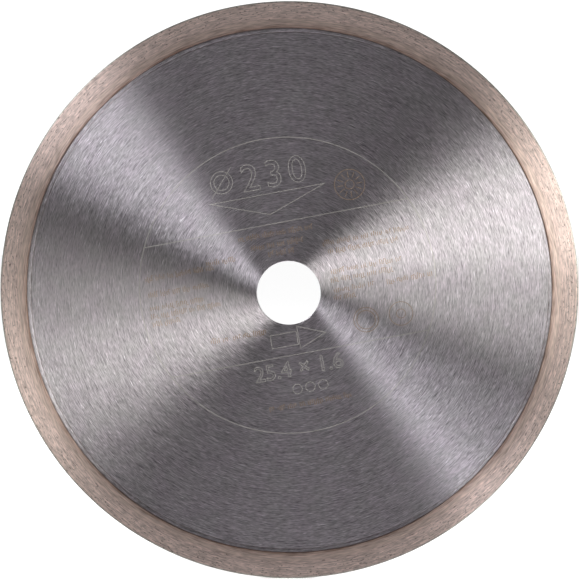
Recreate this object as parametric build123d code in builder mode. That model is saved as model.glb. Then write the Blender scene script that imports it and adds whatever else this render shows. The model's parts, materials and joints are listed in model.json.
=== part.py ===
from build123d import *
import math
import os

# A continuous-rim diamond cutting blade. The disc stands upright: its axis is Y, its marked face looks
# along -Y, and the origin is at the centre of the bore, on the mid-plane. All sizes are in millimetres.

# Overall sizes
blade_diameter = 230.0  # over the diamond rim
bore_diameter = 25.4  # arbor bore
rim_height = 10.0  # radial height of the whole sintered rim
backing_height = 3.0  # inner part of that height, pressed with no diamond in it
rim_width = 1.6  # width of cut: thickness of the rim
core_width = 1.2  # thickness of the steel blank

# Key between blank and rim: a thin tongue round the blank, with scallops that the bond fills
tongue_height = 1.4  # how far the tongue reaches into the rim
tongue_width = 0.6
scallop_count = 60
scallop_radius = 0.9

# Edge breaks
bore_chamfer = 0.1
rim_edge_chamfer = 0.25
rim_root_chamfer = 0.08

# Shallow groove that side grinding leaves in the blank, a little off the blade's own centre
witness_inset = 2.0  # from the rim's inner edge to the middle of the groove
witness_width = 0.3
witness_depth = 0.06
witness_offset_x = 0.2
witness_offset_z = -0.1

# Diamond crystals: cubes with their corners cut off, seated in the bond and a little proud of it
crystal_size = 0.4  # across its flats
crystal_corner = 0.24  # from a crystal's centre to each of its corner facets
crystal_proud = 0.06  # the furthest that a crystal's tip stands out of the bond
edge_crystal_count = 96
side_crystal_count = 48  # on each side of the rim
edge_tracks = 3  # lines of crystals across the cutting edge
crystal_margin = 0.6  # least distance of a side crystal's centre from the edges of the diamond layer

blade_radius = blade_diameter / 2
bore_radius = bore_diameter / 2
core_radius = blade_radius - rim_height
backing_radius = core_radius + backing_height
tongue_radius = core_radius + tongue_height
witness_radius = core_radius - witness_inset

GOLDEN_ANGLE = 180 * (3 - math.sqrt(5))
GOLDEN_SHARE = (math.sqrt(5) - 1) / 2

os.makedirs("parts", exist_ok=True)


# Steel blank: a flat disc, thinned at its edge to a scalloped tongue
with BuildPart() as steel_core:
    with BuildSketch(Plane.XZ):
        Circle(core_radius)
    extrude(amount=core_width / 2, both=True)
    with BuildSketch(Plane.XZ):
        Circle(tongue_radius)
        with PolarLocations(tongue_radius, scallop_count):
            Circle(scallop_radius, mode=Mode.SUBTRACT)
    extrude(amount=tongue_width / 2, both=True)
    with BuildSketch(Plane.XZ):
        Circle(bore_radius)
    extrude(amount=core_width / 2, both=True, mode=Mode.SUBTRACT)
    bore_rims = steel_core.edges().filter_by(GeomType.CIRCLE).filter_by(lambda e: e.radius == bore_radius)
    chamfer(bore_rims, length=bore_chamfer)
    for side in (-1, 1):
        face_plane = Plane.XZ.offset(side * core_width / 2)
        with BuildSketch(face_plane):
            with Locations((witness_offset_x, witness_offset_z)):
                Circle(witness_radius + witness_width / 2)
                Circle(witness_radius - witness_width / 2, mode=Mode.SUBTRACT)
        extrude(amount=-side * witness_depth, mode=Mode.SUBTRACT)
steel_core.part.label = "steel_core"
export_step(steel_core.part, "parts/steel_core.step")


# Backing ring: plain bond pressed over the tongue, so its inside is the tongue's own shape
with BuildPart() as rim_backing_ring:
    with BuildSketch(Plane.XZ):
        Circle(backing_radius)
        Circle(core_radius, mode=Mode.SUBTRACT)
    extrude(amount=rim_width / 2, both=True)
    root_edges = rim_backing_ring.edges().filter_by(GeomType.CIRCLE).filter_by(lambda e: e.radius == core_radius)
    chamfer(root_edges, length=rim_root_chamfer)
    add(steel_core.part, mode=Mode.SUBTRACT)
rim_backing_ring.part.label = "rim_backing_ring"
export_step(rim_backing_ring.part, "parts/rim_backing_ring.step")


# One crystal: a cube with a facet on each of its eight corners
with BuildPart() as crystal:
    Box(crystal_size, crystal_size, crystal_size)
    for x in (-1, 1):
        for y in (-1, 1):
            for z in (-1, 1):
                outward = Vector(x, y, z).normalized()
                split(bisect_by=Plane(origin=outward * crystal_corner, z_dir=outward), keep=Keep.BOTTOM)


def crystal_place(radius, angle, across, turn):
    """Where one crystal sits: its distance from the axis, its angle round it and its place across the rim."""
    radial = Vector(math.cos(math.radians(angle)), 0, math.sin(math.radians(angle)))
    position = radial * radius + Vector(0, across, 0)
    return Location(position, (turn * GOLDEN_ANGLE, turn * 2 * GOLDEN_ANGLE, turn * 3 * GOLDEN_ANGLE))


# Crystals stand in staggered tracks round the cutting edge, and are scattered over both sides of the rim
tip_offset = crystal_corner * math.sqrt(3) - crystal_size  # a crystal's tips are at (half, half, this)
crystal_reach = math.hypot(crystal_size / 2, crystal_size / 2, tip_offset)
seat_depth = crystal_reach - crystal_proud
track_pitch = (rim_width - 2 * rim_edge_chamfer) / edge_tracks
side_inner_radius = backing_radius + crystal_margin
side_outer_radius = blade_radius - rim_edge_chamfer - crystal_margin
crystal_places = []
for i in range(edge_crystal_count):
    across = (i % edge_tracks - (edge_tracks - 1) / 2) * track_pitch
    crystal_places.append(crystal_place(blade_radius - seat_depth, 360 * i / edge_crystal_count, across, i))
for side in (-1, 1):
    for i in range(side_crystal_count):
        share = i * GOLDEN_SHARE % 1
        radius = side_inner_radius + share * (side_outer_radius - side_inner_radius)
        angle = (360 / side_crystal_count) * i
        crystal_places.append(crystal_place(radius, angle, side * (rim_width / 2 - seat_depth), i + 1))

with BuildPart() as diamond_grit:
    with Locations(*crystal_places):
        add(crystal.part)
diamond_grit.part.label = "diamond_grit"
export_step(diamond_grit.part, "parts/diamond_grit.step")


# Diamond rim: the working layer of bond, its edges broken, with a seat for each crystal
with BuildPart() as diamond_rim:
    with BuildSketch(Plane.XZ):
        Circle(blade_radius)
    extrude(amount=rim_width / 2, both=True)
    cutting_edges = diamond_rim.edges().filter_by(GeomType.CIRCLE)
    chamfer(cutting_edges, length=rim_edge_chamfer)
    with BuildSketch(Plane.XZ):
        Circle(backing_radius)
    extrude(amount=rim_width / 2, both=True, mode=Mode.SUBTRACT)
    add(diamond_grit.part, mode=Mode.SUBTRACT)
diamond_rim.part.label = "diamond_rim"
export_step(diamond_rim.part, "parts/diamond_rim.step")
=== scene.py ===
import json
import math

import bpy
import numpy as np
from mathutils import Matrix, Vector


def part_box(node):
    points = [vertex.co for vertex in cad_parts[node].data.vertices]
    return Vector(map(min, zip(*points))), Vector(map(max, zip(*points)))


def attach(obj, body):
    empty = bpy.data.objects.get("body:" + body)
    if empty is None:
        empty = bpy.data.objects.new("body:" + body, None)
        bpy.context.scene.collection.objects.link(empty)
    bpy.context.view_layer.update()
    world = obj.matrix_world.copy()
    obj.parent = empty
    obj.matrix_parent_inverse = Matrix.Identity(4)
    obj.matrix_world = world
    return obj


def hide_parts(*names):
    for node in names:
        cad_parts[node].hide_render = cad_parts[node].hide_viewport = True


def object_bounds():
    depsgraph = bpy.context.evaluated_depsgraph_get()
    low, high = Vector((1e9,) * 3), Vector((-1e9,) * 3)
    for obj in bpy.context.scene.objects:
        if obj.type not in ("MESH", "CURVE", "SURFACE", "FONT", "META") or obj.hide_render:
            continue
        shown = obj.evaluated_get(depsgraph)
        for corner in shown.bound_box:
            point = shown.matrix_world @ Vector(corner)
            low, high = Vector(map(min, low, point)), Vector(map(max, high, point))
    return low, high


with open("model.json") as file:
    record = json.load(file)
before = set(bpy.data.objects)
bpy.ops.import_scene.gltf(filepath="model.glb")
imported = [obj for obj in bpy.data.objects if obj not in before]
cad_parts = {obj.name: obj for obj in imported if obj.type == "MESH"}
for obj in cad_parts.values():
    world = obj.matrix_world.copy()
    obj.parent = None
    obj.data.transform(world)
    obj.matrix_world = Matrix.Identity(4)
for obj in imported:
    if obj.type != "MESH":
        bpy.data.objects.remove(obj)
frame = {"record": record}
cad_low, cad_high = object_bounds()


# ---------------------------------------------------------------------------------------------------------
# STEEL BLANK
# A disc of hardened carbon steel sheet, stamped, tensioned and ground flat on both sides on a turning
# table, which leaves fine crossed lines all the way round. Its edge is a thin scalloped tongue that the
# rim is pressed round.

MM = 0.001
AROUND = 1440  # steps round the disc, so that a step at the edge is half a millimetre
STEPS = np.linspace(0, 2 * math.pi, AROUND, endpoint=False)

core_low, core_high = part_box("steel_core")
backing_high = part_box("rim_backing_ring")[1]
mounts = {mount["name"]: mount for mount in frame["record"]["mounts"]}

BORE = mounts["arbor_bore"]["dims"]["r_mm"] * MM
BORE_WALL = mounts["arbor_bore"]["dims"]["length_mm"] * MM
CORE_HALF = core_high.y
TONGUE_HALF = CORE_HALF / 2
BACKING_OUTER = round(backing_high.x, 4)  # to the tenth of a millimetre
BACKING_HEIGHT = 3 * MM
JOINT = BACKING_OUTER - BACKING_HEIGHT  # where the full thickness of the blank ends
TONGUE_HEIGHT = 1.4 * MM
TONGUE_OUTER = JOINT + TONGUE_HEIGHT
SCALLOPS = 60
SCALLOP_RADIUS = 0.9 * MM
GROOVE = JOINT - 2 * MM  # middle of the grinding groove
GROOVE_HALF = 0.17 * MM
GROOVE_DEEP = 0.06 * MM
GROOVE_SHIFT = (0.2 * MM, -0.1 * MM)
GROOVE_FADES_AT = math.radians(38)  # the groove has run out here,
GROOVE_GONE = math.radians(15.6)  # by this far each way
GROOVE_RETURNS = math.radians(26)  # and is back to its full depth this much further on
CREVICE = JOINT - 0.72 * MM  # where the blank drops away beside the bond
CREVICE_WIDE = 0.08 * MM
CREVICE_DEEP = 0.15 * MM
LINE_SKEW = 5.4 * MM  # the direction across a grinding line passes this far beside the axis


def turned(name, sections):
    """A closed solid of revolution about Y. Each section is a radius and a height, each either one value or
    one for every step round, and how far its centre is shifted in X and Z."""
    rows = []
    for radius, height, shift_x, shift_z in sections:
        x = np.broadcast_to(radius, AROUND) * np.cos(STEPS) + shift_x
        z = np.broadcast_to(radius, AROUND) * np.sin(STEPS) + shift_z
        rows.append(np.stack([x, np.broadcast_to(height, AROUND), z], axis=1))
    points = np.concatenate(rows)
    faces = []
    count = len(sections)
    for row in range(count):
        here, there = row * AROUND, (row + 1) % count * AROUND
        for step in range(AROUND):
            after = (step + 1) % AROUND
            faces.append((here + step, here + after, there + after, there + step))
    mesh = bpy.data.meshes.new(name)
    mesh.from_pydata(points.tolist(), [], faces)
    mesh.update()
    piece = bpy.data.objects.new(name, mesh)
    bpy.context.scene.collection.objects.link(piece)
    return piece


def shade_by_angle(piece, degrees=30):
    """Smooth shading, with the edges sharper than this angle kept crisp."""
    mesh = piece.data
    mesh.polygons.foreach_set("use_smooth", np.ones(len(mesh.polygons), bool))
    mesh.set_sharp_from_angle(angle=math.radians(degrees))


def blank_half(side):
    """The sections of one face of the blank, from the bore's wall out to the tongue. side is -1 or 1."""
    edge_break = CORE_HALF - BORE_WALL / 2
    away = np.abs((STEPS - GROOVE_FADES_AT + math.pi) % (2 * math.pi) - math.pi)
    depth = GROOVE_DEEP * np.clip((away - GROOVE_GONE) / GROOVE_RETURNS, 0, 1)
    face = side * CORE_HALF
    shift_x, shift_z = GROOVE_SHIFT
    return [
        (BORE, side * BORE_WALL / 2, 0, 0),
        (BORE + edge_break, face, 0, 0),
        (BORE + 3 * edge_break, face, 0, 0),
        *[(BORE + gap * MM, face, 0, 0) for gap in (12, 36, 60)],
        (GROOVE - 12 * MM, face, shift_x / 2, shift_z / 2),
        (GROOVE - 2 * GROOVE_HALF, face, shift_x, shift_z),
        (GROOVE - GROOVE_HALF, face, shift_x, shift_z),
        (GROOVE - 0.4 * GROOVE_HALF, face - side * depth, shift_x, shift_z),
        (GROOVE + 0.4 * GROOVE_HALF, face - side * depth, shift_x, shift_z),
        (GROOVE + GROOVE_HALF, face - side * 0.2 * depth, shift_x, shift_z),
        (CREVICE - 0.12 * MM, face, 0, 0),
        (CREVICE, face - side * 0.01 * MM, 0, 0),
        (CREVICE + CREVICE_WIDE, face - side * 0.8 * CREVICE_DEEP, 0, 0),
        (JOINT, face - side * CREVICE_DEEP, 0, 0),
        (JOINT, side * TONGUE_HALF, 0, 0),
    ]


scallop_pitch = 2 * math.pi * TONGUE_OUTER / SCALLOPS
arc = (STEPS * TONGUE_OUTER) % scallop_pitch
arc = np.minimum(arc, scallop_pitch - arc)
bite = np.sqrt(np.clip(SCALLOP_RADIUS**2 - arc**2, 0, None))
tongue_edge = TONGUE_OUTER - bite

blank_sections = blank_half(-1) + [(tongue_edge, -TONGUE_HALF, 0, 0), (tongue_edge, TONGUE_HALF, 0, 0)]
blank_sections += blank_half(1)[::-1]
blank = turned("steel_blank", blank_sections)
shade_by_angle(blank)


def linear(hex_colour):
    """An sRGB hex colour as linear RGBA."""
    parts = [int(hex_colour[i : i + 2], 16) / 255 for i in (1, 3, 5)]
    return [c / 12.92 if c <= 0.04045 else ((c + 0.055) / 1.055) ** 2.4 for c in parts] + [1.0]


def add(tree, kind, sockets=None, **settings):
    """Adds one node with its settings. sockets gives each input a value, or the node or output behind it."""
    made = tree.nodes.new(kind)
    for name, value in settings.items():
        setattr(made, name, value)
    for key, source in (sockets or {}).items():
        if isinstance(source, bpy.types.Node):
            source = source.outputs[0]
        if isinstance(source, bpy.types.NodeSocket):
            tree.links.new(source, made.inputs[key])
        else:
            made.inputs[key].default_value = source
    return made


def new_finish(name):
    """An empty node material and its tree."""
    finish = bpy.data.materials.new(name)
    finish.use_nodes = True
    finish.node_tree.nodes.clear()
    return finish, finish.node_tree


def disc_place(tree):
    """Where a point is on the disc: its place in the plane, its distance from the axis, and its height."""
    place = add(tree, "ShaderNodeTexCoord").outputs["Object"]
    flat = add(tree, "ShaderNodeVectorMath", {0: place, 1: (1, 0, 1)}, operation="MULTIPLY")
    radius = add(tree, "ShaderNodeVectorMath", {0: flat}, operation="LENGTH").outputs["Value"]
    height = add(tree, "ShaderNodeSeparateXYZ", {0: place}).outputs["Y"]
    return flat, radius, height


def ground_lines(tree, disc, length, width, centre=(0, 0), wander=0.25 * MM, detail=1.0, seed=0.0):
    """Noise drawn out into lines of this length and width round a centre (across, up), a little unsteady:
    they wander this far from true circles. Each face and each seed has lines of its own."""
    flat, _, height = disc
    pivot = (centre[0], 0, centre[1])
    reach = add(tree, "ShaderNodeVectorMath", {0: flat, 1: pivot}, operation="DISTANCE").outputs["Value"]
    loose = add(tree, "ShaderNodeVectorMath", {0: flat, "Scale": 1 / (7 * MM)}, operation="SCALE")
    loose = add(tree, "ShaderNodeVectorMath", {0: loose, 1: (seed, seed, seed)}, operation="ADD")
    drift = add(tree, "ShaderNodeTexNoise", {"Vector": loose, "Scale": 1.0, "Detail": 0.0})
    drift = add(tree, "ShaderNodeMath", {0: drift, 1: wander, 2: reach}, operation="MULTIPLY_ADD")
    across = add(tree, "ShaderNodeMath", {0: drift, 1: 1 / width}, operation="MULTIPLY")
    other_face = add(tree, "ShaderNodeMath", {0: height, 1: 20 / MM, 2: across}, operation="MULTIPLY_ADD")
    along = add(tree, "ShaderNodeVectorMath", {0: flat, "Scale": 1 / length}, operation="SCALE")
    lift = add(tree, "ShaderNodeCombineXYZ", {"X": seed, "Y": other_face, "Z": seed})
    place = add(tree, "ShaderNodeVectorMath", {0: along, 1: lift}, operation="ADD")
    return add(tree, "ShaderNodeTexNoise", {"Vector": place, "Scale": 1.0, "Detail": detail}).outputs["Fac"]


def across_the_lines(tree, disc, skew, unrest):
    """The direction across the grinding lines, which the shine spreads along: outwards from the axis, turned
    by the skew that the grinding wheel's place gave the lines, and by a small unrest of their own."""
    flat, radius, _ = disc
    sideways = add(tree, "ShaderNodeVectorMath", {0: (0, 1, 0), 1: flat}, operation="CROSS_PRODUCT")
    turn = add(tree, "ShaderNodeMath", {0: skew, 1: radius}, operation="DIVIDE")
    turn = add(tree, "ShaderNodeMath", {0: turn, 1: unrest}, operation="ADD")
    sideways = add(tree, "ShaderNodeVectorMath", {0: sideways, "Scale": turn}, operation="SCALE")
    return add(tree, "ShaderNodeVectorMath", {0: flat, 1: sideways}, operation="ADD")


def dirt_and_shade_in_joint(tree, disc):
    """The groove and the crevice beside the bond, darkened 0 to 1: grinding dirt and painted shade."""
    flat, radius, _ = disc
    centre = (GROOVE_SHIFT[0], 0, GROOVE_SHIFT[1])
    reach = add(tree, "ShaderNodeVectorMath", {0: flat, 1: centre}, operation="DISTANCE").outputs["Value"]
    # the groove is darkened in the colour: grinding dirt and painted shade of the hollow
    off = add(tree, "ShaderNodeMath", {0: reach, 1: GROOVE}, operation="SUBTRACT")
    off = add(tree, "ShaderNodeMath", {0: off}, operation="ABSOLUTE")
    groove = add(tree, "ShaderNodeMapRange", {"Value": off, 1: 0.07 * MM, 2: 0.2 * MM, 3: 0.5, 4: 0.0})
    outwards = add(tree, "ShaderNodeVectorMath", {0: flat}, operation="NORMALIZE")
    fade = (math.cos(GROOVE_FADES_AT), 0, math.sin(GROOVE_FADES_AT))
    near = add(tree, "ShaderNodeVectorMath", {0: outwards, 1: fade}, operation="DOT_PRODUCT")
    near = near.outputs["Value"]
    gone, whole = math.cos(GROOVE_GONE), math.cos(GROOVE_GONE + GROOVE_RETURNS)
    kept = add(tree, "ShaderNodeMapRange", {"Value": near, 1: gone, 2: whole, 3: 0.0, 4: 1.0})
    groove = add(tree, "ShaderNodeMath", {0: groove.outputs[0], 1: kept.outputs[0]}, operation="MULTIPLY")
    along = add(tree, "ShaderNodeVectorMath", {0: flat, "Scale": 1 / (9 * MM)}, operation="SCALE")
    uneven = add(tree, "ShaderNodeTexNoise", {"Vector": along, "Scale": 1.0, "Detail": 2.0})
    edge = add(tree, "ShaderNodeMath", {0: uneven, 1: 0.5 * MM, 2: radius}, operation="MULTIPLY_ADD")
    start = CREVICE + 0.22 * MM
    dark = start + 0.12 * MM
    joint = add(tree, "ShaderNodeMapRange", {"Value": edge, 1: start, 2: dark, 3: 0.0, 4: 0.55})
    return add(tree, "ShaderNodeMath", {0: groove, 1: joint.outputs[0]}, operation="MAXIMUM")


def surface_ground_steel():
    """Bright hardened steel, ground flat: fan-shaped glare that turns with the light, broken into short
    lines. Real grinding lines are about 0.02 mm wide, and are drawn ten times coarser to show at all."""
    finish, tree = new_finish("surface_ground_steel")
    disc = disc_place(tree)
    fine = ground_lines(tree, disc, 7 * MM, 0.2 * MM)
    crossed = ground_lines(tree, disc, 1.8 * MM, 0.2 * MM, (6 * MM, 3 * MM), seed=7.3)
    back_crossed = ground_lines(tree, disc, 2.6 * MM, 0.24 * MM, (-4 * MM, 6 * MM), seed=15.1)
    broad = ground_lines(tree, disc, 8 * MM, 1.1 * MM, (3 * MM, -4 * MM), 1.5 * MM, 2.0, 3.1)
    nicks = ground_lines(tree, disc, 3.4 * MM, 0.3 * MM, (-7 * MM, -3 * MM), detail=0.0, seed=11.9)
    lines = add(tree, "ShaderNodeMath", {0: fine, 1: crossed}, operation="ADD")
    lines = add(tree, "ShaderNodeMath", {0: lines, 1: back_crossed}, operation="ADD")
    lines = add(tree, "ShaderNodeMath", {0: lines, 1: 1.5}, operation="SUBTRACT")
    unrest = add(tree, "ShaderNodeMath", {0: lines, 1: 0.16}, operation="MULTIPLY")
    tangent = across_the_lines(tree, disc, LINE_SKEW, unrest)
    film = add(tree, "ShaderNodeVectorMath", {0: disc[0], "Scale": 1 / (9 * MM)}, operation="SCALE")
    film = add(tree, "ShaderNodeTexNoise", {"Vector": film, "Scale": 1.0, "Detail": 3.0})
    tint = add(tree, "ShaderNodeValToRGB", {"Fac": film})
    tint.color_ramp.elements[0].position = 0.35
    tint.color_ramp.elements[0].color = linear("#C6BEC4")
    tint.color_ramp.elements[1].position = 0.65
    tint.color_ramp.elements[1].color = linear("#C4BFC2")
    shade = add(tree, "ShaderNodeMath", {0: lines, 1: 1.25, 2: 0.84}, operation="MULTIPLY_ADD")
    shade = add(tree, "ShaderNodeMath", {0: broad, 1: 0.32, 2: shade}, operation="MULTIPLY_ADD")
    nick = add(tree, "ShaderNodeMapRange", {"Value": nicks, 1: 0.74, 2: 0.8, 3: 0.0, 4: 0.6})
    shade = add(tree, "ShaderNodeMath", {0: shade, 1: nick.outputs[0]}, operation="ADD")
    colour = add(tree, "ShaderNodeVectorMath", {0: tint, "Scale": shade}, operation="SCALE")
    # the groove and the crevice beside the bond are painted darker: grinding dirt and painted shade
    dirt_and_shade = dirt_and_shade_in_joint(tree, disc)
    colour = add(tree, "ShaderNodeMix", {"Factor": dirt_and_shade, 6: colour, 7: linear("#7C665B")}, data_type="RGBA")
    colour = colour.outputs[2]
    rough = add(tree, "ShaderNodeMapRange", {"Value": broad, 1: 0.3, 2: 0.7, 3: 0.4, 4: 0.44})
    bump = add(tree, "ShaderNodeBump", {"Height": lines, "Strength": 0.2, "Distance": 0.004 * MM})
    surface = add(
        tree,
        "ShaderNodeBsdfPrincipled",
        {
            "Base Color": colour,
            "Metallic": 1.0,
            "Roughness": rough.outputs[0],
            "Anisotropic": 1.0,
            "Tangent": tangent,
            "Normal": bump,
        },
    )
    add(tree, "ShaderNodeOutputMaterial", {"Surface": surface})
    return finish


blank.data.materials.append(surface_ground_steel())
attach(blank, "root")
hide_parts("steel_core")


# ---------------------------------------------------------------------------------------------------------
# BACKING RING
# Bronze and cobalt powder with no diamond in it, pressed round the blank's tongue, sintered, then side
# ground. A thin, uneven flash of it laps onto the steel.

rim_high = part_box("diamond_rim")[1]
RIM_HALF = rim_high.y
FLASH = 0.42 * MM  # how far the flash laps onto the blank, on average
FLASH_SWAY = 0.22 * MM  # how far its edge swings in and out over long stretches
FLASH_RAGGED = 0.06 * MM  # and over short ones
FLASH_FOOT = 0.13 * MM  # how far its underside is below the blank's face
SEAT_GAP = 0.02 * MM  # hidden gap between the ring and the blank's edge, which keeps the two meshes apart


def waves(seed, smallest, largest, count):
    """A smooth uneven line round the disc, from -1 to 1: a sum of waves of these numbers of turns."""
    random = np.random.default_rng(seed)
    line = np.zeros(AROUND)
    for turns in random.integers(smallest, largest, count):
        line += np.sin(turns * STEPS + random.uniform(0, 2 * math.pi)) * random.uniform(0.4, 1.0)
    return line / np.abs(line).max()


def backing_half(side, seed):
    """The sections of one side of the backing ring, from the tongue's groove out to the diamond layer."""
    lip = JOINT - FLASH - FLASH_SWAY * waves(seed, 1, 9, 6) - FLASH_RAGGED * waves(seed + 1, 20, 160, 16)
    face = side * RIM_HALF
    ledge = side * (CORE_HALF - FLASH_FOOT)
    return [
        (JOINT + 0.3 * MM, side * TONGUE_HALF, 0, 0),
        (JOINT + SEAT_GAP, side * TONGUE_HALF, 0, 0),
        (JOINT + SEAT_GAP, ledge, 0, 0),
        (lip, ledge, 0, 0),
        (lip + 0.03 * MM, face - side * 0.1 * MM, 0, 0),
        (lip + 0.1 * MM, face - side * 0.02 * MM, 0, 0),
        (lip + 0.25 * MM, face, 0, 0),
        (JOINT + 0.9 * MM, face, 0, 0),
        (BACKING_OUTER, face, 0, 0),
    ]


backing = turned("rim_backing", backing_half(-1, 4) + backing_half(1, 9)[::-1])
shade_by_angle(backing)


def side_ground_bond():
    """Sintered bronze bond with no diamond: pinkish brown, smooth ground, its pores closed, and darker
    towards the steel, where the grinding wheel hardly touches it. Its sunken lip beside the steel is
    darker still, with painted shade."""
    finish, tree = new_finish("side_ground_bond")
    disc = disc_place(tree)
    _, radius, height = disc
    lines = ground_lines(tree, disc, 4 * MM, 0.42 * MM, (3 * MM, -2 * MM), seed=1.7)
    patches = ground_lines(tree, disc, 8 * MM, 1.1 * MM, seed=4.4)
    long_lines = ground_lines(tree, disc, 12 * MM, 0.4 * MM, wander=0.3 * MM, seed=9.2)
    outwards = add(tree, "ShaderNodeMapRange", {"Value": radius, 1: JOINT - FLASH, 2: BACKING_OUTER})
    outwards = outwards.outputs[0]
    ramp = add(tree, "ShaderNodeMath", {0: long_lines, 1: 0.8, 2: outwards}, operation="MULTIPLY_ADD")
    tint = add(tree, "ShaderNodeValToRGB", {"Fac": ramp})
    tint.color_ramp.elements[0].position = 0.3
    tint.color_ramp.elements[0].color = linear("#8C7264")
    tint.color_ramp.elements[1].position = 0.65
    tint.color_ramp.elements[1].color = linear("#BEA79D")
    tint.color_ramp.elements.new(1.0).color = linear("#CCB8AE")
    shade = add(tree, "ShaderNodeMath", {0: lines, 1: 1.2, 2: 0.1}, operation="MULTIPLY_ADD")
    shade = add(tree, "ShaderNodeMath", {0: patches, 1: 0.6, 2: shade}, operation="MULTIPLY_ADD")
    # the sunken lip beside the steel is darkened in the colour: painted shade
    lift = add(tree, "ShaderNodeMath", {0: height}, operation="ABSOLUTE")
    sunk = RIM_HALF - 0.1 * MM
    lip_shade = add(tree, "ShaderNodeMapRange", {"Value": lift, 1: sunk, 2: RIM_HALF, 3: 0.65, 4: 1.0})
    shade = add(tree, "ShaderNodeMath", {0: shade, 1: lip_shade.outputs[0]}, operation="MULTIPLY")
    colour = add(tree, "ShaderNodeVectorMath", {0: tint, "Scale": shade}, operation="SCALE")
    tangent = across_the_lines(tree, disc, LINE_SKEW, 0.0)
    bump = add(tree, "ShaderNodeBump", {"Height": lines, "Strength": 0.4, "Distance": 0.006 * MM})
    surface = add(
        tree,
        "ShaderNodeBsdfPrincipled",
        {
            "Base Color": colour,
            "Metallic": 0.92,
            "Roughness": 0.42,
            "Anisotropic": 0.95,
            "Tangent": tangent,
            "Normal": bump,
        },
    )
    add(tree, "ShaderNodeOutputMaterial", {"Surface": surface})
    return finish


backing.data.materials.append(side_ground_bond())
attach(backing, "root")
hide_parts("rim_backing_ring")


# ---------------------------------------------------------------------------------------------------------
# DIAMOND RIM
# The same powder with diamond grit in it, hot pressed onto the backing as one unbroken ring, ground to size
# and its edges eased. The grinding tears small pits where crystals have come out.

RIM_OUTER = round(rim_high.x, 4)
RIM_EDGE = 0.25 * MM  # eased edge
RIM_STEP = 0.4 * MM  # between the rings of points that carry the ground face's relief
RELIEF = 0.006 * MM
EDGE_RELIEF = 0.012 * MM  # relief of the cutting edge
EDGE_WORN = 0.02 * MM  # how far back its corners are


def rim_half(side, seed):
    """The sections of one side of the rim, from the backing out to the middle of the cutting edge."""
    face = side * RIM_HALF
    chips = waves(seed, 20, 400, 40)
    sections = [(BACKING_OUTER, face, 0, 0)]
    count = int((RIM_OUTER - RIM_EDGE - BACKING_OUTER) / RIM_STEP)
    for ring in range(1, count):
        radius = BACKING_OUTER + ring * RIM_STEP
        relief = RELIEF * np.abs(waves(seed * 100 + ring, 60, 500, 12))
        sections.append((radius, face - side * relief, 0, 0))
    ease = RIM_EDGE * (1 + 0.25 * chips)
    sections.append((RIM_OUTER - ease, face - side * 0.01 * MM, 0, 0))
    sections.append((RIM_OUTER - 0.35 * ease, face - side * 0.35 * ease, 0, 0))
    sections.append((RIM_OUTER - EDGE_WORN, face - side * ease, 0, 0))
    worn = EDGE_RELIEF * np.abs(waves(seed * 7, 100, 600, 20))
    sections.append((RIM_OUTER - worn, side * 0.2 * MM, 0, 0))
    return sections


rim = turned("diamond_rim_ring", rim_half(-1, 3) + rim_half(1, 5)[::-1])
shade_by_angle(rim)


def diamond_bond():
    """Sintered bronze-cobalt bond with grit in it: tan metal, drawn into short lines, with pits that open
    up outwards, darkened with painted shade, and greyer along the worn edge."""
    finish, tree = new_finish("diamond_bond")
    disc = disc_place(tree)
    radius = disc[1]
    lines = ground_lines(tree, disc, 2.6 * MM, 0.34 * MM, (3 * MM, -2 * MM), seed=2.9)
    patches = ground_lines(tree, disc, 14 * MM, 0.6 * MM, seed=8.1)
    pits = ground_lines(tree, disc, 1.1 * MM, 0.55 * MM, detail=0.0, seed=5.3)
    outwards = add(tree, "ShaderNodeMapRange", {"Value": radius, 1: BACKING_OUTER, 2: RIM_OUTER}).outputs[0]
    tint = add(tree, "ShaderNodeValToRGB", {"Fac": outwards})
    tint.color_ramp.elements[0].color = linear("#CEB9B1")
    tint.color_ramp.elements[1].position = 0.4
    tint.color_ramp.elements[1].color = linear("#D8C4BC")
    tint.color_ramp.elements.new(0.9).color = linear("#D8C4BC")
    tint.color_ramp.elements.new(0.97).color = linear("#AFAFA6")
    shade = add(tree, "ShaderNodeMath", {0: lines, 1: 1.4, 2: -0.05}, operation="MULTIPLY_ADD")
    shade = add(tree, "ShaderNodeMath", {0: patches, 1: 0.7, 2: shade}, operation="MULTIPLY_ADD")
    open_from = add(tree, "ShaderNodeMapRange", {"Value": outwards, 1: 0.0, 2: 0.6, 3: 0.22, 4: 0.29})
    into_pit = add(tree, "ShaderNodeMath", {0: pits, 1: open_from.outputs[0]}, operation="SUBTRACT")
    # pits sink in the bump and are darkened in the colour: painted shade in the pits
    pit_depth_and_shade = add(tree, "ShaderNodeMapRange", {"Value": into_pit, 1: -0.03, 2: 0.03, 3: 0.5, 4: 1.0}).outputs[0]
    shade = add(tree, "ShaderNodeMath", {0: shade, 1: pit_depth_and_shade}, operation="MULTIPLY")
    colour = add(tree, "ShaderNodeVectorMath", {0: tint, "Scale": shade}, operation="SCALE")
    tangent = across_the_lines(tree, disc, LINE_SKEW, 0.0)
    relief = add(tree, "ShaderNodeMath", {0: lines, 1: pit_depth_and_shade}, operation="ADD")
    bump = add(tree, "ShaderNodeBump", {"Height": relief, "Strength": 0.4, "Distance": 0.01 * MM})
    surface = add(
        tree,
        "ShaderNodeBsdfPrincipled",
        {
            "Base Color": colour,
            "Metallic": 0.92,
            "Roughness": 0.48,
            "Anisotropic": 0.95,
            "Tangent": tangent,
            "Normal": bump,
        },
    )
    add(tree, "ShaderNodeOutputMaterial", {"Surface": surface})
    return finish


rim.data.materials.append(diamond_bond())
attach(rim, "root")
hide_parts("diamond_rim")


# ---------------------------------------------------------------------------------------------------------
# DIAMOND GRIT
# Synthetic diamond crystals of about 40 to 60 mesh, yellow-green. They are mixed into the powder before it
# is pressed, and the sintered bond holds them, just proud of its sides and of its cutting edge.

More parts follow.
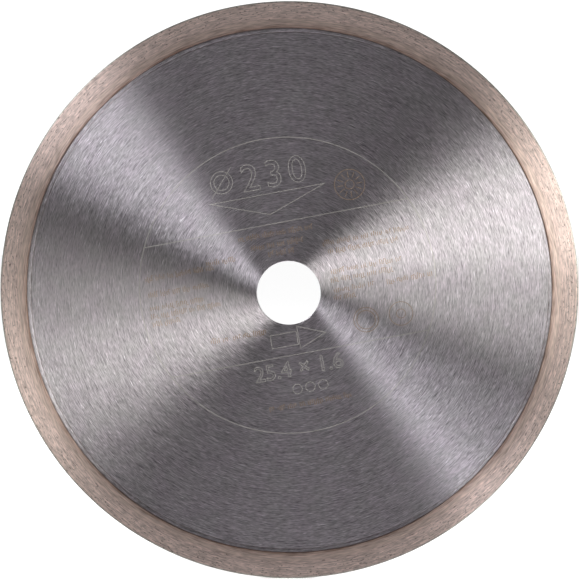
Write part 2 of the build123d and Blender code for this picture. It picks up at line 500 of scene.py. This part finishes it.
GRIT_LARGEST = 0.4 * MM
GRIT_SMALLEST = 0.25 * MM
GRIT_PROUD = 0.05 * MM
GRIT_STARTS = BACKING_OUTER + GRIT_LARGEST
MORE_OUTSIDE = 0.65  # under 1, more of the side crystals lie near the cutting edge
SIDE_GRIT = 800  # crystals on each side
EDGE_GRIT = 500


def crystal_corners():
    """A cube with its corners cut to the middles of its edges: the twelve points of a cuboctahedron."""
    points = []
    for a in (-1, 1):
        for b in (-1, 1):
            points += [(a, b, 0), (a, 0, b), (0, a, b)]
    return np.array(points, float) / math.sqrt(2)


def crystal_faces(points):
    """The eight triangles and six squares between those points, each wound outwards."""
    faces = []
    for axis in range(3):
        for side in (-1, 1):
            direction = np.eye(3)[axis] * side
            faces.append((points @ direction, direction))
    for a in (-1, 1):
        for b in (-1, 1):
            for c in (-1, 1):
                direction = np.array([a, b, c]) / math.sqrt(3)
                faces.append((points @ direction, direction))
    wound = []
    for along, direction in faces:
        corners = [i for i in range(len(points)) if along[i] > along.max() - 1e-6]
        centre = points[corners].mean(axis=0)
        first = points[corners[0]] - centre
        second = np.cross(direction, first)
        corners.sort(key=lambda i: math.atan2((points[i] - centre) @ second, (points[i] - centre) @ first))
        wound.append(corners)
    return wound


def turned_at_random(random):
    """A rotation matrix, even over all directions."""
    q = random.normal(size=4)
    w, x, y, z = q / np.linalg.norm(q)
    return np.array(
        [
            [1 - 2 * (y * y + z * z), 2 * (x * y - z * w), 2 * (x * z + y * w)],
            [2 * (x * y + z * w), 1 - 2 * (x * x + z * z), 2 * (y * z - x * w)],
            [2 * (x * z - y * w), 2 * (y * z + x * w), 1 - 2 * (x * x + y * y)],
        ]
    )


def sown_crystals():
    """Every crystal's points and faces, sown at random over both sides and the cutting edge."""
    random = np.random.default_rng(11)
    corners = crystal_corners()
    wound = crystal_faces(corners)
    points, faces = [], []
    for side in [-1] * SIDE_GRIT + [1] * SIDE_GRIT + [0] * EDGE_GRIT:
        size = random.uniform(GRIT_SMALLEST, GRIT_LARGEST) / 2
        angle = random.uniform(0, 2 * math.pi)
        deep = size - random.uniform(0.2, 1.0) * GRIT_PROUD
        if side:
            reach = random.uniform(0, 1) ** MORE_OUTSIDE
            radius = GRIT_STARTS + reach * (RIM_OUTER - RIM_EDGE - GRIT_STARTS)
            height = side * (RIM_HALF - deep)
        else:
            radius = RIM_OUTER - EDGE_WORN - deep
            height = random.uniform(-1, 1) * (RIM_HALF - RIM_EDGE)
        centre = np.array([radius * math.cos(angle), height, radius * math.sin(angle)])
        start = len(points)
        points.extend((centre + corners @ turned_at_random(random).T * size).tolist())
        faces.extend([[start + i for i in face] for face in wound])
    return points, faces


grit_points, grit_faces = sown_crystals()
grit_mesh = bpy.data.meshes.new("diamond_grit_crystals")
grit_mesh.from_pydata(grit_points, [], grit_faces)
grit = bpy.data.objects.new("diamond_grit_crystals", grit_mesh)
bpy.context.scene.collection.objects.link(grit)


def synthetic_diamond():
    """Synthetic diamond: hard, glassy and yellow-green, tinted dark with painted shade of its seat."""
    finish, tree = new_finish("synthetic_diamond")
    each = add(tree, "ShaderNodeNewGeometry").outputs["Random Per Island"]
    # the crystals' dark olive tints are partly painted shade of the seats they sit in
    tint = add(tree, "ShaderNodeValToRGB", {"Fac": each})
    tint.color_ramp.elements[0].color = linear("#454034")
    tint.color_ramp.elements[1].color = linear("#8A8364")
    surface = add(
        tree,
        "ShaderNodeBsdfPrincipled",
        {"Base Color": tint, "Roughness": 0.12, "IOR": 2.42},
    )
    add(tree, "ShaderNodeOutputMaterial", {"Surface": surface})
    return finish


grit.data.materials.append(synthetic_diamond())
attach(grit, "root")
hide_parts("diamond_grit")


# ---------------------------------------------------------------------------------------------------------
# LASER MARKS
# Thin outlines burnt onto one face of the blank after grinding: a ring, two chords, the disc's sizes in
# millimetres, an arrow and plain signs. The laser roughens the steel to a pale frost, and to straw in the
# small marks.

LINE_HALF = 0.13 * MM  # half a burnt line's width, a little more than a laser's own so that it shows
SMALL_LINE_HALF = 0.14 * MM
LASER_PROUD = 0.008 * MM  # the burr that the laser throws up
SHARPEST_MITRE = 0.1  # keeps the points of very sharp corners from running out too far
MARKS_TURN = math.radians(10.6)  # the marks stand turned by this much on the disc
RING_RADIUS = 59 * MM
RING_RISE = 2.8 * MM  # the ring's centre is this far above the bore's
TOP_CHORD = 28.2 * MM
BOTTOM_CHORD = -24.7 * MM


def circle_points(across, up, radius, start=0.0, end=360.0, steps=48):
    """Points along a circle or a part of one, in the marks' own plane."""
    angles = np.radians(np.linspace(start, end, steps, endpoint=end - start < 360))
    return [(across + radius * math.cos(a), up + radius * math.sin(a)) for a in angles]


def chord(up):
    """A straight line across the ring at this height."""
    half = math.sqrt(RING_RADIUS**2 - (up - RING_RISE) ** 2)
    return [(-half, up), (half, up)]


CAPITAL = 0.7  # height of a figure as a share of its type size


def figure_outlines(text, across, up, height, spacing, bolder=0.0):
    """The outlines of some figures, each as a closed run of points, with their lower left corner here."""
    written = bpy.data.curves.new("figures", "FONT")
    written.body = text
    written.fill_mode = "NONE"
    written.size = height / CAPITAL
    written.space_character = spacing
    written.offset = bolder
    written.resolution_u = 4
    holder = bpy.data.objects.new("figures", written)
    bpy.context.scene.collection.objects.link(holder)
    bpy.context.view_layer.update()
    made = bpy.data.meshes.new_from_object(holder.evaluated_get(bpy.context.evaluated_depsgraph_get()))
    bpy.data.objects.remove(holder)
    beside = {vertex.index: [] for vertex in made.vertices}
    for edge in made.edges:
        first, second = edge.vertices
        beside[first].append(second)
        beside[second].append(first)
    outlines = []
    while beside:
        here = min(beside)
        run = []
        while here is not None:
            run.append((made.vertices[here].co.x + across, made.vertices[here].co.y + up))
            onward = [there for there in beside.pop(here) if there in beside]
            here = onward[0] if onward else None
        outlines.append((run, True))
    return outlines


def burnt_lines(name, lines, line_half):
    """One mesh of thin flat ribbons along lines, each (points, closed), mitred at their corners."""
    mesh_points, faces = [], []
    for points, closed in lines:
        run = np.array(points)
        if closed:
            before, after = np.roll(run, 1, axis=0), np.roll(run, -1, axis=0)
        else:
            before = np.vstack([2 * run[0] - run[1], run[:-1]])
            after = np.vstack([run[1:], 2 * run[-1] - run[-2]])
        come = (run - before) / np.linalg.norm(run - before, axis=1, keepdims=True)
        leave = (after - run) / np.linalg.norm(after - run, axis=1, keepdims=True)
        mitre = np.stack([-come[:, 1] - leave[:, 1], come[:, 0] + leave[:, 0]], axis=1)
        square = np.maximum(np.sum(mitre * mitre, axis=1, keepdims=True), SHARPEST_MITRE)
        mitre *= 2 / square * line_half
        start = len(mesh_points)
        for left, right in zip(run + mitre, run - mitre):
            for (x, z), proud in ((left, -1), (left, 1), (right, 1), (right, -1)):
                turned_x = x * math.cos(MARKS_TURN) - z * math.sin(MARKS_TURN)
                turned_z = x * math.sin(MARKS_TURN) + z * math.cos(MARKS_TURN)
                mesh_points.append((turned_x, core_low.y - proud * LASER_PROUD, turned_z))
        count = len(run)
        for step in range(count if closed else count - 1):
            here, there = start + 4 * step, start + 4 * ((step + 1) % count)
            for side in range(4):
                after_side = (side + 1) % 4
                faces.append((here + side, there + side, there + after_side, here + after_side))
        if not closed:
            last = start + 4 * (count - 1)
            faces.append((start, start + 1, start + 2, start + 3))
            faces.append((last + 3, last + 2, last + 1, last))
    mesh = bpy.data.meshes.new(name)
    mesh.from_pydata(mesh_points, [], faces)
    piece = bpy.data.objects.new(name, mesh)
    bpy.context.scene.collection.objects.link(piece)
    return piece


TICK_STEP = 0.8 * MM
TICK_GAP = 0.9 * MM  # more between one group and the next
TICK_LEVEL = 0.6 * MM  # length of a level tick


def small_ticks(random, across, up, width, height):
    """A row of small upright and level ticks in groups of three to eight."""
    lines = []
    reach = across
    while reach < across + width:
        for _ in range(random.integers(3, 9)):
            low = up + random.uniform(0, 0.3) * height
            high = up + random.uniform(0.6, 1.0) * height
            lines.append(([(reach, low), (reach, high)], False))
            if random.uniform() < 0.5:
                level = low if random.uniform() < 0.5 else high
                lines.append(([(reach, level), (reach + TICK_LEVEL, level)], False))
            reach += TICK_STEP
        reach += TICK_GAP
    return lines


def disc_sign(across, up, radius):
    """A plain disc seen face on: two rings and short spokes."""
    lines = [(circle_points(across, up, radius), True), (circle_points(across, up, 0.3 * radius), True)]
    for spoke in range(12):
        angle = math.radians(30 * spoke)
        inner, outer = 0.45 * radius, 0.85 * radius
        ends = [(across + r * math.cos(angle), up + r * math.sin(angle)) for r in (inner, outer)]
        lines.append((ends, False))
    return lines


arrow_shaft = [(-10.5 * MM, -15.5 * MM), (0, -15.5 * MM), (0, -20.8 * MM), (-10.5 * MM, -20.8 * MM)]
arrow_head = [(0.6 * MM, -13.6 * MM), (11.5 * MM, -18.1 * MM), (0.6 * MM, -22.6 * MM)]
pennant = [(-24 * MM, 40.2 * MM), (22 * MM, 40.2 * MM), (-1.5 * MM, 32 * MM)]
diameter_at = (-18.2 * MM, 47.9 * MM)
diameter_stroke = [(-23 * MM, 42.4 * MM), (-13.4 * MM, 53.4 * MM)]
outlines = [
    (circle_points(0, RING_RISE, RING_RADIUS, steps=240), True),
    (chord(TOP_CHORD), False),
    (chord(BOTTOM_CHORD), False),
    (arrow_shaft, True),
    (arrow_head, True),
    (pennant, True),
    (circle_points(*diameter_at, 4.4 * MM), True),
    (circle_points(*diameter_at, 3 * MM), True),
    (diameter_stroke, False),
]
for sign in range(3):
    outlines.append((circle_points((-3.6 + 5.2 * sign) * MM, -38.4 * MM, 1.9 * MM), True))
outlines += figure_outlines("230", -10.5 * MM, 42.6 * MM, 10.6 * MM, 1.25)
outlines += figure_outlines("25.4 × 1.6", -19.6 * MM, -33 * MM, 6.2 * MM, 1.0, 0.12 * MM)
laser_lines = burnt_lines("laser_lines", outlines, LINE_HALF)

TICK_ROW_HEIGHT = 2.5 * MM
ticks = np.random.default_rng(23)
small_marks = disc_sign(31.6 * MM, 37.9 * MM, 6 * MM)
for across, up, radius in ((28.3, -16.1, 4.9), (28.3, -16.1, 3.7), (42.4, -16.2, 4.7), (42.4, -16.2, 1.8)):
    small_marks.append((circle_points(across * MM, up * MM, radius * MM), True))
for across, up, width in (
    (-15.7, 23.1, 27),
    (-11.3, 18.8, 18),
    (-5, 15.3, 9),
    (17, 15.6, 33),
    (18.5, 12, 26),
    (18.2, 4.1, 27),
    (17.5, 0.6, 26),
    (18, -3.6, 16),
    (39.3, -3.9, 18),
    (17.4, -6.5, 9),
    (-30, 16, 12),
    (-55, 14.3, 25),
    (-55, 7.9, 19),
    (-55.3, 2.6, 18),
    (-55.5, -0.7, 28),
    (-55.5, -3.8, 9),
    (-34, -14.8, 7),
    (-25, -14.9, 9),
    (-16, -45.8, 34),
):
    small_marks += small_ticks(ticks, across * MM, up * MM, width * MM, TICK_ROW_HEIGHT)
laser_ticks = burnt_lines("laser_ticks", small_marks, SMALL_LINE_HALF)


def laser_frost(name, hex_colour):
    """Steel roughened and tempered by a laser: partly matt, so it stays pale where ground steel is dark."""
    finish, tree = new_finish(name)
    disc = disc_place(tree)
    burn = ground_lines(tree, disc, 3 * MM, 0.8 * MM, detail=2.0, seed=6.6)
    shade = add(tree, "ShaderNodeMath", {0: burn, 1: 0.8, 2: 0.58}, operation="MULTIPLY_ADD")
    tint = linear(hex_colour)[:3]
    colour = add(tree, "ShaderNodeVectorMath", {0: tint, "Scale": shade}, operation="SCALE")
    tangent = across_the_lines(tree, disc, LINE_SKEW, 0.0)
    surface = add(
        tree,
        "ShaderNodeBsdfPrincipled",
        {
            "Base Color": colour,
            "Metallic": 0.86,
            "Roughness": 0.45,
            "Anisotropic": 0.97,
            "Tangent": tangent,
        },
    )
    add(tree, "ShaderNodeOutputMaterial", {"Surface": surface})
    return finish


laser_lines.data.materials.append(laser_frost("laser_frosted_steel", "#CCC8C2"))
laser_ticks.data.materials.append(laser_frost("laser_straw_steel", "#B29C8A"))
for marks in (laser_lines, laser_ticks):
    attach(marks, "root")


# ---------------------------------------------------------------------------------------------------------
# FLOOR
# A plain pale painted floor that the blade stands on. It keeps out of the metal's shine and lets light from
# below through, as if the blade stood clear of it.

FLOOR_SIZE = 8

bpy.ops.mesh.primitive_plane_add(size=FLOOR_SIZE, location=(0, 0, cad_low.z))
floor = bpy.context.object
floor.name = "floor"


def pale_paint():
    """Matt off-white paint."""
    finish, tree = new_finish("pale_paint")
    surface = add(tree, "ShaderNodeBsdfPrincipled", {"Base Color": linear("#F6F6F6"), "Roughness": 0.9})
    add(tree, "ShaderNodeOutputMaterial", {"Surface": surface})
    return finish


floor.data.materials.append(pale_paint())
floor.visible_glossy = False
floor.visible_shadow = False


# ---------------------------------------------------------------------------------------------------------
# STUDIO LIGHT
# A white room, which lights everything evenly, and soft boxes in front of each face. In the shine of the
# metal the room is dim, with a pale glow from below, so that the boxes draw bright fans on it.

# Strengths of the room's light, as linear red, green and blue
ROOM_WHITE = (1.12, 1.12, 1.12, 1)
GLOW_BELOW = (1.35, 1.33, 1.38, 1)
DIM_ABOVE = (0.018, 0.016, 0.017, 1)
GLOW_ENDS = -0.3  # height where the glow has gone, from -1 straight below to 0 level with the eye

studio = bpy.data.worlds.new("studio")
bpy.context.scene.world = studio
studio.use_nodes = True
room = studio.node_tree
room.nodes.clear()
place = add(room, "ShaderNodeTexCoord").outputs["Generated"]
up = add(room, "ShaderNodeSeparateXYZ", {0: place}).outputs["Z"]
lift = add(room, "ShaderNodeMapRange", {"Value": up, 1: -1.0, 2: GLOW_ENDS, 3: 0.0, 4: 1.0}).outputs[0]
room_glow = add(room, "ShaderNodeValToRGB", {"Fac": lift})
room_glow.color_ramp.elements[0].color = GLOW_BELOW
room_glow.color_ramp.elements[1].color = DIM_ABOVE
in_shine = add(room, "ShaderNodeLightPath").outputs["Is Glossy Ray"]
room_mix = add(room, "ShaderNodeMix", {"Factor": in_shine, 6: ROOM_WHITE, 7: room_glow}, data_type="RGBA")
room_light = add(room, "ShaderNodeBackground", {"Color": room_mix.outputs[2]})
add(room, "ShaderNodeOutputWorld", {"Surface": room_light})

BOX_DISTANCE = 0.9


def soft_box(name, turn, tilt, width, height, brightness, colour):
    """A soft box turned this many degrees round the disc from its right, tilted this many from straight in
    front of the marked face, and facing the disc. Boxes of one brightness glare alike at any size."""
    turn, tilt = math.radians(turn), math.radians(tilt)
    away = Vector((math.cos(turn) * math.sin(tilt), -math.cos(tilt), math.sin(turn) * math.sin(tilt)))
    data = bpy.data.lights.new(name, "AREA")
    data.shape = "RECTANGLE"
    data.size, data.size_y = width, height
    data.energy = brightness * width * height * math.pi
    data.color = linear(colour)[:3]
    lamp = bpy.data.objects.new(name, data)
    lamp.location = away * BOX_DISTANCE
    lamp.rotation_mode = "QUATERNION"
    lamp.rotation_quaternion = away.to_track_quat("Z", "Y")
    bpy.context.scene.collection.objects.link(lamp)
    return lamp


soft_box("right_box", 14.5, 56.7, 0.74, 0.36, 6.7, "#FFFFFB")
soft_box("left_box", 140.7, 65.1, 0.08, 0.38, 36.0, "#FAFBFF")
soft_box("low_box", 349, 29.8, 0.18, 0.17, 10.4, "#FFFFFB")
soft_box("low_left_box", 309.5, 71.7, 0.2, 0.12, 16.6, "#FAFBFF")
soft_box("back_right_box", 35, 122, 0.5, 0.4, 7.0, "#FFFFFF")
soft_box("back_left_box", 160, 122, 0.3, 0.4, 9.0, "#FFFFFF")


# ---------------------------------------------------------------------------------------------------------
# CAMERA
# Nearly square to the marked face, a little above the axis. A small shift keeps the disc in the middle of
# the frame.

CAMERA_TURN = math.radians(0.7)
CAMERA_RISE = math.radians(3.35)
CAMERA_DISTANCE = 5 * RIM_OUTER
FILLS = 0.9973  # share of the frame's half width that the disc's radius takes

camera_data = bpy.data.cameras.new("camera")
camera = bpy.data.objects.new("camera", camera_data)
bpy.context.scene.collection.objects.link(camera)
bpy.context.scene.camera = camera
back = Vector(
    (
        math.sin(CAMERA_TURN) * math.cos(CAMERA_RISE),
        -math.cos(CAMERA_TURN) * math.cos(CAMERA_RISE),
        math.sin(CAMERA_RISE),
    )
)
camera.location = back * CAMERA_DISTANCE
camera.rotation_mode = "QUATERNION"
camera.rotation_quaternion = back.to_track_quat("Z", "Y")
camera_data.lens = camera_data.sensor_width / 2 * CAMERA_DISTANCE / RIM_OUTER * FILLS
camera_data.shift_y = RIM_OUTER / CAMERA_DISTANCE * math.sin(CAMERA_RISE) * FILLS / 2
camera_data.shift_x = RIM_OUTER / CAMERA_DISTANCE * math.sin(CAMERA_TURN) * FILLS / 2
bpy.context.scene.view_settings.view_transform = "Standard"
